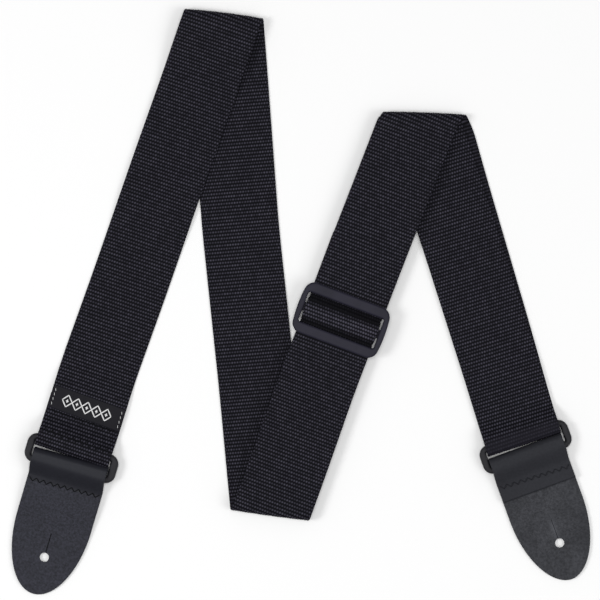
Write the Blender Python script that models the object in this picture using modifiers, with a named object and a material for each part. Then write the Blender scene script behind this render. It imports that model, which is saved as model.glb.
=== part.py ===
"""Guitar strap of 50 mm webbing, laid in a zigzag on a flat surface.

The webbing is one continuous strip. It starts at the left ring, runs up, down and up again
through three flat folds, passes under and over the bars of a slider, goes down to the right
ring, round its upper bar and back beneath itself, and ends sewn round the slider's centre bar.
A leather tab with a button hole hangs from each ring.

+Z is up and the surface is z = 0. The origin is the middle of the strap's bounding box.
"""
import math

import bmesh
import bpy
from mathutils import Vector

MM = 0.001

# Webbing
WEBBING_WIDTH = 50 * MM
WEBBING_THICKNESS = 1.2 * MM
GAP = 0.3 * MM
FLOOR_LAYER = WEBBING_THICKNESS / 2
SECOND_LAYER = FLOOR_LAYER + WEBBING_THICKNESS + GAP

# Corners of the webbing's centre line in plan: where its straight runs, produced, meet
LEFT_LOOP = Vector((-150.0, -101.9)) * MM
FOLD_1 = Vector((-49.4, 188.6)) * MM
FOLD_2 = Vector((-20.5, -140.4)) * MM
FOLD_3 = Vector((79.1, 124.0)) * MM
FOLD_3_DRIFT = Vector((3.3, 0)) * MM
RIGHT_LOOP = Vector((146.5, -94.4)) * MM
INNER_FOLD_SETBACK = 3.9 * MM
FOLD_REACH = 16 * MM

# Rings: one bar carries the webbing, the other the leather
RING_LENGTH = 61.5 * MM
RING_WIDTH = 19.2 * MM
RING_BAR = 4.5 * MM
RING_END = 3.7 * MM
RING_THICKNESS = 3.6 * MM
RING_OUTER_CORNER = 6.5 * MM
RING_INNER_CORNER = 1.2 * MM
RING_EDGE_ROUND = 1.4 * MM
LEFT_RING_TILT = math.radians(-16.5)
RIGHT_RING_TILT = math.radians(18.9)
LEFT_RING_OFFSET = 1.3 * MM
RIGHT_RING_OFFSET = 0
BAR_SPACING = RING_WIDTH - RING_BAR
BAR_CLEARANCE = 2.5 * MM
LEFT_LOOP_TILT = math.radians(-18.3)
LOOP_RADIUS = BAR_CLEARANCE + WEBBING_THICKNESS / 2
LOOP_HOLD = BAR_SPACING / 2 + BAR_CLEARANCE
LOOP_EASE = 24 * MM

# Leather tabs, measured from the axis of the ring's lower bar
LEATHER_THICKNESS = 2 * MM
TAB_WIDTH = 50 * MM
TAB_LENGTH = 84 * MM
TAB_TIP_LENGTH = 49 * MM
TAB_LOOP_REACH = 7.35 * MM
TAB_STITCH_AT = 12.6 * MM
TAB_FLAP_END = 22.2 * MM
TAB_FLAT_FROM = 36 * MM
BUTTON_HOLE_DIAMETER = 6 * MM
BUTTON_HOLE_FROM_TIP = 24.8 * MM
LEFT_HOLE_OFFSET = 0.8 * MM
RIGHT_HOLE_OFFSET = 1.3 * MM
LEFT_TIP_TAPER = 1.0
RIGHT_TIP_TAPER = 1.04
RIGHT_TAB_OFFSET = -1 * MM
RIGHT_TAB_SKEW = math.radians(1.1)
BUTTON_SLIT_LENGTH = 14.6 * MM
BUTTON_SLIT_WIDTH = 0.6 * MM
BAR_HEIGHT = BAR_CLEARANCE + LEATHER_THICKNESS

# Slider
SLIDER_TO_FOLD_2 = 136.7 * MM
SLIDER_LENGTH = 60 * MM
SLIDER_WIDTH = 34.5 * MM
SLIDER_SIDE_BOW = 1.6 * MM
SLIDER_CORNER = 6 * MM
SLIDER_OPENING_LENGTH = 52.2 * MM
SLIDER_OFFSET = -0.7 * MM
SLIDER_OPENING_WIDTH = 20.4 * MM
SLIDER_OPENING_CORNER = 1.5 * MM
SLIDER_EDGE_ROUND = 0.8 * MM
CENTRE_BAR_WIDTH = 6 * MM
CENTRE_BAR_THICKNESS = 2 * MM
OUTER_BAR_THICKNESS = 2.4 * MM
SLIDER_TAIL = 52 * MM

# Height of each layer at the slider, from the surface up: sewn loop, centre bar, loop, run, bars
CENTRE_BAR_BOTTOM = SECOND_LAYER + WEBBING_THICKNESS / 2 + GAP
CENTRE_BAR_TOP = CENTRE_BAR_BOTTOM + CENTRE_BAR_THICKNESS
RETURN_LAYER = CENTRE_BAR_TOP + GAP + WEBBING_THICKNESS / 2
TOP_LAYER = RETURN_LAYER + WEBBING_THICKNESS + GAP
OUTER_BAR_BOTTOM = TOP_LAYER + WEBBING_THICKNESS / 2 + GAP
OUTER_BAR_TOP = OUTER_BAR_BOTTOM + OUTER_BAR_THICKNESS
TAIL_LAYER = RETURN_LAYER - WEBBING_THICKNESS - GAP

# Sewing and label
THREAD_RADIUS = 0.25 * MM
THREAD_LIFT = GAP + THREAD_RADIUS
ZIGZAG_STEP = 2.4 * MM
LABEL_HEIGHT = 16 * MM
LABEL_THICKNESS = 0.3 * MM
LABEL_FROM_RING_BAR = 27.2 * MM
LABEL_STITCH_INSET = 3 * MM
LEFT_TAIL = 30 * MM
LOOP_STITCHES_FROM_BAR = 5 * MM


def clear_scene():
    for old in list(bpy.data.objects):
        bpy.data.objects.remove(old, do_unlink=True)


def make_collection(name):
    collection = bpy.data.collections.new(name)
    bpy.context.scene.collection.children.link(collection)
    return collection


def make_material(name, colour, roughness, metallic=0.0):
    material = bpy.data.materials.new(name)
    material.use_nodes = True
    shader = material.node_tree.nodes["Principled BSDF"]
    shader.inputs["Base Color"].default_value = (*colour, 1.0)
    shader.inputs["Roughness"].default_value = roughness
    shader.inputs["Metallic"].default_value = metallic
    return material


def add_object(name, data, collection, material=None, parent=None):
    piece = bpy.data.objects.new(name, data)
    collection.objects.link(piece)
    if material:
        data.materials.append(material)
    piece.parent = parent
    return piece


def add_hinge(name, location, turn, collection, parent=None):
    """An empty on a joint's axis: its X axis lies along the bar."""
    empty = bpy.data.objects.new(name, None)
    collection.objects.link(empty)
    empty.empty_display_size = 0.02
    empty.parent = parent
    empty.location = location
    empty.rotation_euler = (0, 0, turn)
    return empty


def solidify(piece, thickness):
    shell = piece.modifiers.new("thickness", "SOLIDIFY")
    shell.thickness = thickness
    shell.offset = 0
    return shell


def round_edges(piece, width, segments=2):
    bevel = piece.modifiers.new("edges", "BEVEL")
    bevel.width = width
    bevel.segments = segments
    bevel.limit_method = "ANGLE"
    bevel.angle_limit = math.radians(40)
    return bevel


def combine(piece, other, operation, cutters):
    """Cuts the other object out of the piece, or joins it on."""
    for collection in list(other.users_collection):
        collection.objects.unlink(other)
    cutters.objects.link(other)
    other.hide_render = True
    other.display_type = "WIRE"
    boolean = piece.modifiers.new(other.name, "BOOLEAN")
    boolean.operation = operation
    boolean.object = other
    boolean.solver = "EXACT"


def spread(start, end, steps):
    return [start + (end - start) * i / steps for i in range(steps + 1)]


def eased(knots, distance):
    """Height at a distance, between (distance, height) knots joined by smooth steps."""
    if distance <= knots[0][0]:
        return knots[0][1]
    for (start, low), (end, high) in zip(knots, knots[1:]):
        if distance < end:
            part = (distance - start) / (end - start)
            return low + (high - low) * part * part * (3 - 2 * part)
    return knots[-1][1]


def turned(angle):
    return Vector((math.cos(angle), math.sin(angle)))


def mirrored_in(axis, direction):
    return 2 * direction.dot(axis) * axis - direction


class Bend:
    """A strip that arrives along one direction, bends over a horizontal axis and leaves.

    The axis is the one that turns the first direction into the second, so the strip keeps
    its true shape. Distances along the strip count from the corner, negative before it. The
    drift is how far a soft fold lets the strip leave to one side of where it arrived.
    """

    def __init__(self, corner, arrives, leaves, heights_in, heights_out, side=1,
                 drift=Vector((0, 0))):
        self.corner = corner
        self.arrives = arrives.normalized()
        self.leaves = leaves.normalized()
        self.heights_in = heights_in
        self.heights_out = heights_out
        self.outward = (self.arrives - self.leaves).normalized()
        self.axis = Vector((-self.outward.y, self.outward.x))
        self.across = Vector((self.arrives.y, -self.arrives.x)) * side
        self.radius = abs(heights_in[0][1] - heights_out[0][1]) / 2
        self.drift = drift

    def place(self, along, across, lift=0.0):
        """Point at a distance along and across the strip, lifted off its middle surface."""
        flat = along * self.arrives + across * self.across
        depth = flat.dot(self.outward)
        slip = flat.dot(self.axis)
        half_arc = math.pi * self.radius / 2
        low = self.heights_in[0][1]
        high = self.heights_out[0][1]
        rising = 1 if high > low else -1
        if abs(depth) < half_arc:
            angle = depth / self.radius
            reach = (self.radius + lift) * math.cos(angle) - half_arc
            height = (low + high) / 2 + rising * (self.radius + lift) * math.sin(angle)
        elif depth < 0:
            reach = depth
            height = eased(self.heights_in, -along) - rising * lift
        else:
            reach = -depth
            height = eased(self.heights_out, along) + rising * lift
        plan = self.corner + slip * self.axis + reach * self.outward
        plan += self.drift * eased([(-FOLD_REACH, 0), (FOLD_REACH, 1)], depth)
        return Vector((plan.x, plan.y, height))


def make_sheet(name, stations, columns, place):
    """An open surface from a grid, each point placed by its station and column."""
    mesh = bpy.data.meshes.new(name)
    sheet = bmesh.new()
    bmesh.ops.create_grid(sheet, x_segments=len(columns) - 1, y_segments=len(stations) - 1, size=0.5)
    for vert in sheet.verts:
        column = columns[round((vert.co.x + 0.5) * (len(columns) - 1))]
        station = stations[round((vert.co.y + 0.5) * (len(stations) - 1))]
        vert.co = place(station, column)
    sheet.to_mesh(mesh)
    sheet.free()
    mesh.shade_smooth()
    mesh.set_sharp_from_angle(angle=math.radians(40))
    return mesh


def make_strip(name, bend, stations, collection, material, columns=5, parent=None):
    half = WEBBING_WIDTH / 2
    mesh = make_sheet(name, stations, spread(-half, half, columns), bend.place)
    piece = add_object(name, mesh, collection, material, parent)
    solidify(piece, WEBBING_THICKNESS)
    return piece


def bend_stations(before, after, skew, radius, steps=12):
    """Stations through a bend: close together where any part of the strip's width curves."""
    curved = math.pi * radius / 2 + skew
    stations = [-before] if before > curved else []
    stations += spread(-curved, curved, steps)
    if after > curved:
        stations.append(after)
    return stations


def make_thread(name, points, collection, material, parent=None):
    curve = bpy.data.curves.new(name, "CURVE")
    curve.dimensions = "3D"
    curve.bevel_depth = THREAD_RADIUS
    curve.bevel_resolution = 1
    curve.use_fill_caps = True
    spline = curve.splines.new("POLY")
    spline.points.add(len(points) - 1)
    for point, place in zip(spline.points, points):
        point.co = (*place, 1.0)
    return add_object(name, curve, collection, material, parent)


def zigzag(count):
    """Steps from -1 to 1, with the side that each stitch lies on."""
    return [(2 * i / (count - 1) - 1, 1 if i % 2 else -1) for i in range(count)]


def stitch_row(name, bend, along, depth, lift, collection, material, parent=None):
    """A zigzag of thread across the strip."""
    half = WEBBING_WIDTH / 2 - 1.5 * MM
    count = round(2 * half / ZIGZAG_STEP) + 1
    points = [bend.place(along + side * depth, part * half, lift) for part, side in zigzag(count)]
    return make_thread(name, points, collection, material, parent)


def rounded_outline(half_length, half_width, corner, bow=0.0, steps=5):
    """Points of a rounded rectangle whose two ends may bow outwards."""
    points = []
    for quarter in range(4):
        sign_x = 1 if quarter in (0, 3) else -1
        sign_y = 1 if quarter in (0, 1) else -1
        centre = Vector((sign_x * (half_length - corner), sign_y * (half_width - corner)))
        start = quarter * math.pi / 2
        for angle in spread(start, start + math.pi / 2, steps):
            points.append(centre + corner * turned(angle))
        if bow and quarter in (1, 3):
            side = -1 if quarter == 1 else 1
            for part in spread(-0.75, 0.75, 6):
                points.append(Vector((side * half_length, side * part * (half_width - corner))))
    for point in points:
        point.x *= 1 - bow / half_length * (point.y / half_width) ** 2
    return points


def make_plate(name, outlines, bottom, top, collection, material=None, parent=None):
    """A flat plate with the first outline outside and any others as holes, as a closed mesh."""
    curve = bpy.data.curves.new(name, "CURVE")
    curve.dimensions = "2D"
    curve.fill_mode = "BOTH"
    curve.extrude = (top - bottom) / 2
    for outline in outlines:
        spline = curve.splines.new("POLY")
        spline.use_cyclic_u = True
        spline.points.add(len(outline) - 1)
        for point, place in zip(spline.points, outline):
            point.co = (place.x, place.y, 0.0, 1.0)
    source = bpy.data.objects.new(name + "_outline", curve)
    bpy.context.scene.collection.objects.link(source)
    evaluated = source.evaluated_get(bpy.context.evaluated_depsgraph_get())
    mesh = bpy.data.meshes.new_from_object(evaluated)
    bpy.data.objects.remove(source, do_unlink=True)
    solid = bmesh.new()
    solid.from_mesh(mesh)
    bmesh.ops.remove_doubles(solid, verts=solid.verts, dist=0.001 * MM)
    bmesh.ops.translate(solid, verts=solid.verts, vec=(0, 0, (top + bottom) / 2))
    bmesh.ops.recalc_face_normals(solid, faces=solid.faces)
    solid.to_mesh(mesh)
    solid.free()
    mesh.name = name
    mesh.shade_smooth()
    mesh.set_sharp_from_angle(angle=math.radians(40))
    return add_object(name, mesh, collection, material, parent)


def rounded_edge(thickness, rounding, steps=3):
    """Insets and heights of a plate's rounded edge, from its lower face to its upper face."""
    flat = thickness / 2 - rounding
    lower = spread(-math.pi / 2, 0, steps)
    upper = spread(0, math.pi / 2, steps)
    return [(rounding * (1 - math.cos(angle)), side * flat + rounding * math.sin(angle))
            for side, angles in ((-1, lower), (1, upper)) for angle in angles]


def make_ring(name, hinge, collection, material):
    """A flat ring with two bars. The webbing's bar lies on the hinge, at y = 0."""
    edge = rounded_edge(RING_THICKNESS, RING_EDGE_ROUND)
    points = []
    for inset, height in edge:
        outline = rounded_outline(RING_LENGTH / 2 - inset, RING_WIDTH / 2 - inset,
                                  RING_OUTER_CORNER - inset)
        points += [(point.x, point.y, height) for point in outline]
    for inset, height in reversed(edge):
        outline = rounded_outline(RING_LENGTH / 2 - RING_END + inset,
                                  RING_WIDTH / 2 - RING_BAR + inset, RING_INNER_CORNER + inset)
        points += [(point.x, point.y, height) for point in outline]
    count = len(points) // (2 * len(edge))
    faces = []
    for start in range(0, len(points), count):
        above = (start + count) % len(points)
        for i in range(count):
            after = (i + 1) % count
            faces.append((start + i, start + after, above + after, above + i))
    mesh = bpy.data.meshes.new(name)
    mesh.from_pydata(points, [], faces)
    mesh.shade_smooth()
    mesh.set_sharp_from_angle(angle=math.radians(40))
    ring = add_object(name, mesh, collection, material, hinge)
    ring.location = (0, -BAR_SPACING / 2, 0)
    return ring


def tab_profile(flap_on_top, taper):
    """The leather's middle line from the flap's end, round the bar, to the tip.

    Each point is (distance towards the tip, height above the bar's axis, half width).
    """
    half = TAB_WIDTH / 2
    radius = BAR_CLEARANCE + LEATHER_THICKNESS / 2
    centre = -(TAB_LOOP_REACH - radius - LEATHER_THICKNESS / 2)
    floor = LEATHER_THICKNESS / 2 - BAR_HEIGHT
    second = floor + LEATHER_THICKNESS + GAP
    upper = [(BAR_CLEARANCE, radius), (TAB_STITCH_AT, second)]
    if not flap_on_top:
        upper += [(TAB_FLAP_END + 2 * MM, second), (TAB_FLAT_FROM, floor)]
    lower = [(BAR_CLEARANCE, -radius), (TAB_STITCH_AT, floor)]
    flap, main, side = (upper, lower, 1) if flap_on_top else (lower, upper, -1)
    straight_end = TAB_LENGTH - TAB_TIP_LENGTH
    points = [(along, eased(flap, along), half) for along in spread(TAB_FLAP_END, BAR_CLEARANCE, 8)]
    for angle in spread(0, math.pi, 10):
        points.append((centre - radius * math.sin(angle), side * radius * math.cos(angle), half))
    points += [(along, eased(main, along), half) for along in spread(BAR_CLEARANCE, straight_end, 12)]
    for angle in spread(0, math.radians(87), 14)[1:]:
        along = straight_end + TAB_TIP_LENGTH * math.sin(angle)
        points.append((along, eased(main, along), half * math.cos(angle) ** taper))
    return points


def make_tab(name, hinge, flap_on_top, taper, hole_offset, collection, cutters, material):
    """A leather tab looped round the ring's lower bar, which lies on the hinge."""
    profile = tab_profile(flap_on_top, taper)

    def place(station, column):
        along, height, half = profile[station]
        return Vector((column * half, -along, height))

    mesh = make_sheet(name, list(range(len(profile))), [-1, -0.9, -0.5, 0, 0.5, 0.9, 1], place)
    tab = add_object(name, mesh, collection, material, hinge)
    solidify(tab, LEATHER_THICKNESS)
    hole_at = -(TAB_LENGTH - BUTTON_HOLE_FROM_TIP)
    depth = 8 * MM
    punch_shape = bmesh.new()
    bmesh.ops.create_cone(punch_shape, cap_ends=True, segments=24, depth=depth,
                          radius1=BUTTON_HOLE_DIAMETER / 2, radius2=BUTTON_HOLE_DIAMETER / 2)
    punch_mesh = bpy.data.meshes.new(name + "_hole_punch")
    punch_shape.to_mesh(punch_mesh)
    punch_shape.free()
    punch = add_object(name + "_hole_punch", punch_mesh, collection, None, hinge)
    punch.location = (hole_offset, hole_at, -BAR_HEIGHT)
    combine(tab, punch, "DIFFERENCE", cutters)
    knife_shape = bmesh.new()
    bmesh.ops.create_cube(knife_shape, size=1)
    size = (BUTTON_SLIT_WIDTH, BUTTON_SLIT_LENGTH, depth)
    bmesh.ops.scale(knife_shape, vec=size, verts=knife_shape.verts)
    knife_mesh = bpy.data.meshes.new(name + "_slit_knife")
    knife_shape.to_mesh(knife_mesh)
    knife_shape.free()
    knife = add_object(name + "_slit_knife", knife_mesh, collection, None, hinge)
    slit_middle = hole_at + BUTTON_HOLE_DIAMETER / 4 + BUTTON_SLIT_LENGTH / 2
    knife.location = (hole_offset, slit_middle, -BAR_HEIGHT)
    combine(tab, knife, "DIFFERENCE", cutters)
    return tab


def make_tab_stitches(name, hinge, collection, material):
    """The zigzag of thread across a tab, just clear of the upper layer of leather."""
    height = 1.5 * LEATHER_THICKNESS + GAP + LEATHER_THICKNESS / 2 + THREAD_LIFT - BAR_HEIGHT
    half = TAB_WIDTH / 2 - 1.5 * MM
    count = round(2 * half / ZIGZAG_STEP) + 1
    points = []
    for part, side in zigzag(count):
        points.append(Vector((part * half, -(TAB_STITCH_AT + 1.6 * MM + side * 1.2 * MM), height)))
    return make_thread(name, points, collection, material, hinge)


def make_slider_frame(name, slide, collection, cutters, material):
    """The moulded frame: two outer bars above the run, rails at the ends, a centre bar below."""
    outer = rounded_outline(SLIDER_LENGTH / 2, SLIDER_WIDTH / 2, SLIDER_CORNER, SLIDER_SIDE_BOW)
    inner = rounded_outline(SLIDER_OPENING_LENGTH / 2, SLIDER_OPENING_WIDTH / 2,
                            SLIDER_OPENING_CORNER, steps=3)
    frame = make_plate(name, [outer, inner], OUTER_BAR_BOTTOM, OUTER_BAR_TOP,
                       collection, material, slide)
    round_edges(frame, SLIDER_EDGE_ROUND)
    rail_width = (SLIDER_LENGTH - SLIDER_OPENING_LENGTH) / 2 - 0.5 * MM
    rail_middle = SLIDER_OPENING_LENGTH / 2 + rail_width / 2
    for side, word in ((-1, "left"), (1, "right")):
        outline = rounded_outline(rail_width / 2, SLIDER_OPENING_WIDTH / 2, 1.2 * MM, steps=2)
        rail = make_plate(f"slider_{word}_rail", [outline], CENTRE_BAR_BOTTOM,
                          OUTER_BAR_BOTTOM + OUTER_BAR_THICKNESS / 2, collection, None, slide)
        rail.location = (side * rail_middle, 0, 0)
        combine(frame, rail, "UNION", cutters)
    half_bar = SLIDER_OPENING_LENGTH / 2 + rail_width / 2
    outline = rounded_outline(half_bar, CENTRE_BAR_WIDTH / 2, 0.4 * MM, steps=1)
    bar = make_plate("slider_centre_bar", [outline], CENTRE_BAR_BOTTOM, CENTRE_BAR_TOP,
                     collection, None, slide)
    combine(frame, bar, "UNION", cutters)
    return frame


def make_webbing(collection, material):
    """The strip from the left ring to the slider, in stretches that lie end to end."""
    run_1 = FOLD_1 - LEFT_LOOP
    run_2 = FOLD_2 - FOLD_1
    run_3 = FOLD_3 - FOLD_2
    run_4 = RIGHT_LOOP - FOLD_3 - FOLD_3_DRIFT
    inner_fold = FOLD_3 - INNER_FOLD_SETBACK * run_3.normalized()
    run_5 = inner_fold - RIGHT_LOOP
    loop_low = BAR_HEIGHT - LOOP_RADIUS
    loop_high = BAR_HEIGHT + LOOP_RADIUS

    over_tail = [(LOOP_HOLD, loop_high), (LOOP_EASE, SECOND_LAYER), (44 * MM, SECOND_LAYER),
                 (62 * MM, FLOOR_LAYER), (run_1.length - 165 * MM, FLOOR_LAYER),
                 (run_1.length - 128 * MM, SECOND_LAYER), (run_1.length - 62 * MM, SECOND_LAYER),
                 (run_1.length - FOLD_REACH, TOP_LAYER)]
    into_fold_1 = [(run_1.length - distance, height) for distance, height in reversed(over_tail)]
    tail = mirrored_in(turned(LEFT_LOOP_TILT), run_1.normalized())
    left_loop = Bend(LEFT_LOOP, tail, run_1,
                     [(LOOP_HOLD, loop_low), (LOOP_EASE, FLOOR_LAYER)], over_tail)
    fold_1 = Bend(FOLD_1, run_1, run_2, into_fold_1, [(0, FLOOR_LAYER)], -1)
    fold_2 = Bend(FOLD_2, run_2, run_3, [(0, FLOOR_LAYER)], [(0, TOP_LAYER)])
    fold_3 = Bend(FOLD_3, run_3, run_4, [(0, TOP_LAYER)], [(0, FLOOR_LAYER)], -1, FOLD_3_DRIFT)
    right_loop = Bend(RIGHT_LOOP, run_4, run_5,
                      [(LOOP_HOLD, loop_low), (LOOP_EASE, FLOOR_LAYER)],
                      [(LOOP_HOLD, loop_high), (LOOP_EASE, SECOND_LAYER)])
    back_fold = Bend(inner_fold, run_5, -run_3, [(0, SECOND_LAYER)], [(0, RETURN_LAYER)], -1)

    loop_stop = 38 * MM
    tail_end = BAR_SPACING / 2 + LEFT_TAIL
    tail_stations = spread(-tail_end, -LOOP_EASE, 2) + spread(-LOOP_EASE, -LOOP_HOLD, 4)[1:]
    rise_stations = spread(LOOP_HOLD, LOOP_EASE, 4)
    round_bar = spread(-LOOP_HOLD + 1.5 * MM, LOOP_HOLD - 1.5 * MM, 14)
    make_strip("webbing_left_loop", left_loop,
               tail_stations + round_bar + rise_stations + [loop_stop], collection, material)
    run_start = loop_stop + GAP
    stop = run_1.length - FOLD_REACH - GAP
    slope = [44 * MM, 50 * MM, 56 * MM, 62 * MM]
    slope += spread(run_1.length - 165 * MM, run_1.length - 128 * MM, 4)
    slope += spread(run_1.length - 62 * MM, stop, 6)
    make_strip("webbing_run_1", left_loop, [run_start] + slope, collection, material, 2)
    make_strip("webbing_fold_1", fold_1, bend_stations(FOLD_REACH, FOLD_REACH, 6 * MM, fold_1.radius),
               collection, material)
    make_strip("webbing_run_2", fold_1,
               spread(FOLD_REACH + GAP, run_2.length - FOLD_REACH - GAP, 4), collection, material, 2)
    make_strip("webbing_fold_2", fold_2, bend_stations(FOLD_REACH, FOLD_REACH, 6 * MM, fold_2.radius),
               collection, material)
    make_strip("webbing_run_3", fold_2,
               spread(FOLD_REACH + GAP, run_3.length - FOLD_REACH - GAP, 4), collection, material, 2)
    make_strip("webbing_fold_3", fold_3, bend_stations(FOLD_REACH, FOLD_REACH, 9 * MM, fold_3.radius),
               collection, material)
    make_strip("webbing_run_4", fold_3,
               spread(FOLD_REACH + GAP, run_4.length - loop_stop - GAP, 4), collection, material, 2)
    loop_stations = [-loop_stop] + spread(-LOOP_EASE, -LOOP_HOLD, 4)
    make_strip("webbing_right_loop", right_loop,
               loop_stations + round_bar + rise_stations + [loop_stop], collection, material)
    make_strip("webbing_return_run", right_loop,
               spread(loop_stop + GAP, run_5.length - FOLD_REACH - GAP, 4), collection, material, 2)
    make_strip("webbing_return_fold", back_fold,
               bend_stations(FOLD_REACH, FOLD_REACH, 8.5 * MM, back_fold.radius), collection, material)
    slider_from_inner_fold = run_3.length - INNER_FOLD_SETBACK - SLIDER_TO_FOLD_2
    strand_end = slider_from_inner_fold - SLIDER_TAIL - GAP
    make_strip("webbing_return_strand", back_fold, spread(FOLD_REACH + GAP, strand_end, 2),
               collection, material, 2)
    return left_loop, run_3


def make_label(left_loop, collection, cloth, white_thread, black_thread):
    """A thin woven label across the webbing, with white stitches down both ends."""
    middle = BAR_SPACING / 2 + LABEL_FROM_RING_BAR
    lift = WEBBING_THICKNESS / 2 + GAP + LABEL_THICKNESS / 2
    half = WEBBING_WIDTH / 2 - 0.4 * MM
    rows = spread(middle - LABEL_HEIGHT / 2, middle + LABEL_HEIGHT / 2, 4)
    mesh = make_sheet("label", rows, spread(-half, half, 2),
                      lambda along, across: left_loop.place(along, across, lift))
    label = add_object("label", mesh, collection, cloth)
    solidify(label, LABEL_THICKNESS)
    thread_lift = lift + LABEL_THICKNESS / 2 + THREAD_LIFT
    for side, word in ((-1, "left"), (1, "right")):
        points = []
        for along in spread(middle - LABEL_HEIGHT / 2 + 1.5 * MM, middle + LABEL_HEIGHT / 2 - 1.5 * MM, 8):
            points.append(left_loop.place(along, side * (half - LABEL_STITCH_INSET), thread_lift))
        make_thread(f"label_{word}_stitches", points, collection, white_thread)
    edge = middle - LABEL_HEIGHT / 2
    stitch_row("label_edge_stitches", left_loop, edge - 1.4 * MM, 0.5 * MM,
               WEBBING_THICKNESS / 2 + THREAD_LIFT, collection, black_thread)


def make_slider(run_3, collection, cutters, plastic, webbing, thread):
    """The slider, with the end of the webbing sewn round its centre bar."""
    direction = run_3.normalized()
    centre = FOLD_2 + SLIDER_TO_FOLD_2 * direction
    turn = math.atan2(direction.y, direction.x) - math.pi / 2
    slide = add_hinge("slider_slide", (centre.x, centre.y, 0), turn, collection)
    frame_seat = add_hinge("slider_frame_seat", (SLIDER_OFFSET, 0, 0), 0, collection, slide)
    make_slider_frame("slider_frame", frame_seat, collection, cutters, plastic)
    radius = (RETURN_LAYER - SECOND_LAYER) / 2
    bar_reach = CENTRE_BAR_WIDTH / 2 + math.pi * radius / 2
    hold = bar_reach + CENTRE_BAR_WIDTH / 2 + GAP
    loop = Bend(Vector((0, -bar_reach)), Vector((0, -1)), Vector((0, 1)), [(0, RETURN_LAYER)],
                [(hold, SECOND_LAYER), (hold + 12 * MM, TAIL_LAYER)])
    end = bar_reach + SLIDER_TAIL
    round_bar = spread(-math.pi * radius / 2, math.pi * radius / 2, 10)
    stations = [-end] + round_bar + spread(hold, hold + 12 * MM, 4) + [end]
    make_strip("webbing_slider_loop", loop, stations, collection, webbing, 2, slide)
    stitch_row("slider_loop_stitches", loop, end - 12 * MM, 2 * MM,
               WEBBING_THICKNESS / 2 + THREAD_LIFT, collection, thread, slide)


def make_end(word, loop, tilt, offset, tab_seat, tab_shape, collection, cutters, materials):
    """A ring and its leather tab, which may sit a little askew on the ring's lower bar."""
    plastic, leather, thread = materials
    up = Vector((-math.sin(tilt), math.cos(tilt)))
    bar = loop + up * BAR_SPACING / 2 + turned(tilt) * offset
    ring_hinge = add_hinge(f"{word}_ring_hinge", (bar.x, bar.y, BAR_HEIGHT), tilt, collection)
    make_ring(f"{word}_ring", ring_hinge, collection, plastic)
    tab_hinge = add_hinge(f"{word}_tab_hinge", (0, -BAR_SPACING, 0), 0, collection, ring_hinge)
    shift, skew = tab_seat
    seat = add_hinge(f"{word}_tab_seat", (shift, 0, 0), skew, collection, tab_hinge)
    make_tab(f"{word}_leather_tab", seat, *tab_shape, collection, cutters, leather)
    make_tab_stitches(f"{word}_tab_stitches", seat, collection, thread)


def main():
    clear_scene()
    parts = make_collection("guitar_strap")
    cutters = make_collection("guitar_strap_cutters")
    webbing = make_material("webbing", (0.016, 0.015, 0.019), 0.8)
    plastic = make_material("moulded_plastic", (0.030, 0.030, 0.034), 0.5)
    leather = make_material("leather", (0.035, 0.036, 0.041), 0.55)
    cloth = make_material("label_cloth", (0.013, 0.012, 0.018), 0.45)
    black_thread = make_material("black_thread", (0.012, 0.012, 0.014), 0.7)
    white_thread = make_material("white_thread", (0.75, 0.75, 0.75), 0.7)

    left_loop, run_3 = make_webbing(parts, webbing)
    make_label(left_loop, parts, cloth, white_thread, black_thread)
    stitch_row("left_loop_stitches", left_loop, BAR_SPACING / 2 + LOOP_STITCHES_FROM_BAR, 1.6 * MM,
               WEBBING_THICKNESS / 2 + THREAD_LIFT, parts, black_thread)
    make_slider(run_3, parts, cutters, plastic, webbing, black_thread)
    end_materials = (plastic, leather, black_thread)
    make_end("left", LEFT_LOOP, LEFT_RING_TILT, LEFT_RING_OFFSET, (0, 0),
             (False, LEFT_TIP_TAPER, LEFT_HOLE_OFFSET), parts, cutters, end_materials)
    make_end("right", RIGHT_LOOP, RIGHT_RING_TILT, RIGHT_RING_OFFSET,
             (RIGHT_TAB_OFFSET, RIGHT_TAB_SKEW), (True, RIGHT_TIP_TAPER, RIGHT_HOLE_OFFSET),
             parts, cutters, end_materials)


main()
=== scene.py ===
"""The looks of the guitar strap: webbing, leather, plastic, label, sewing, floor, light and camera.

The webbing is one strip. Every point of it is a length along the strip, a distance across it and
a lift off its middle surface, and on_strip places that point through the three flat folds and
the loops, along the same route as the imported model. All lengths are in metres.
"""
import math
from types import SimpleNamespace

import bmesh
import bpy
import numpy as np
from mathutils import Matrix, Vector


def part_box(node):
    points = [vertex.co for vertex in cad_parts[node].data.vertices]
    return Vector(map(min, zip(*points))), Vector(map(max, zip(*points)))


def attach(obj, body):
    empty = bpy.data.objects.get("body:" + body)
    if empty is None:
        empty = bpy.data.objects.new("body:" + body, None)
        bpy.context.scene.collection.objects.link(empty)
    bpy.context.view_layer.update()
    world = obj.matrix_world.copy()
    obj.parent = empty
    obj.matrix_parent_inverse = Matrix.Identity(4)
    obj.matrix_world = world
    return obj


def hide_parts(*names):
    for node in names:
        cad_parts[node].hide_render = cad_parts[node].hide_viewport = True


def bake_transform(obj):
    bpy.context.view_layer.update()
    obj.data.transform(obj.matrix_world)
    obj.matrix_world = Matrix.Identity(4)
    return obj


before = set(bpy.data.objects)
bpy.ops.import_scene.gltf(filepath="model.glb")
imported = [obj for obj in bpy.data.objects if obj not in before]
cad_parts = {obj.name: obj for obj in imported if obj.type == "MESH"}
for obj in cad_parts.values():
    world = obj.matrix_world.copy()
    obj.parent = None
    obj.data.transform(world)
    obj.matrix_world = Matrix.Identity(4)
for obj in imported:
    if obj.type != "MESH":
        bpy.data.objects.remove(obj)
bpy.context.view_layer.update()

MM = 0.001

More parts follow.
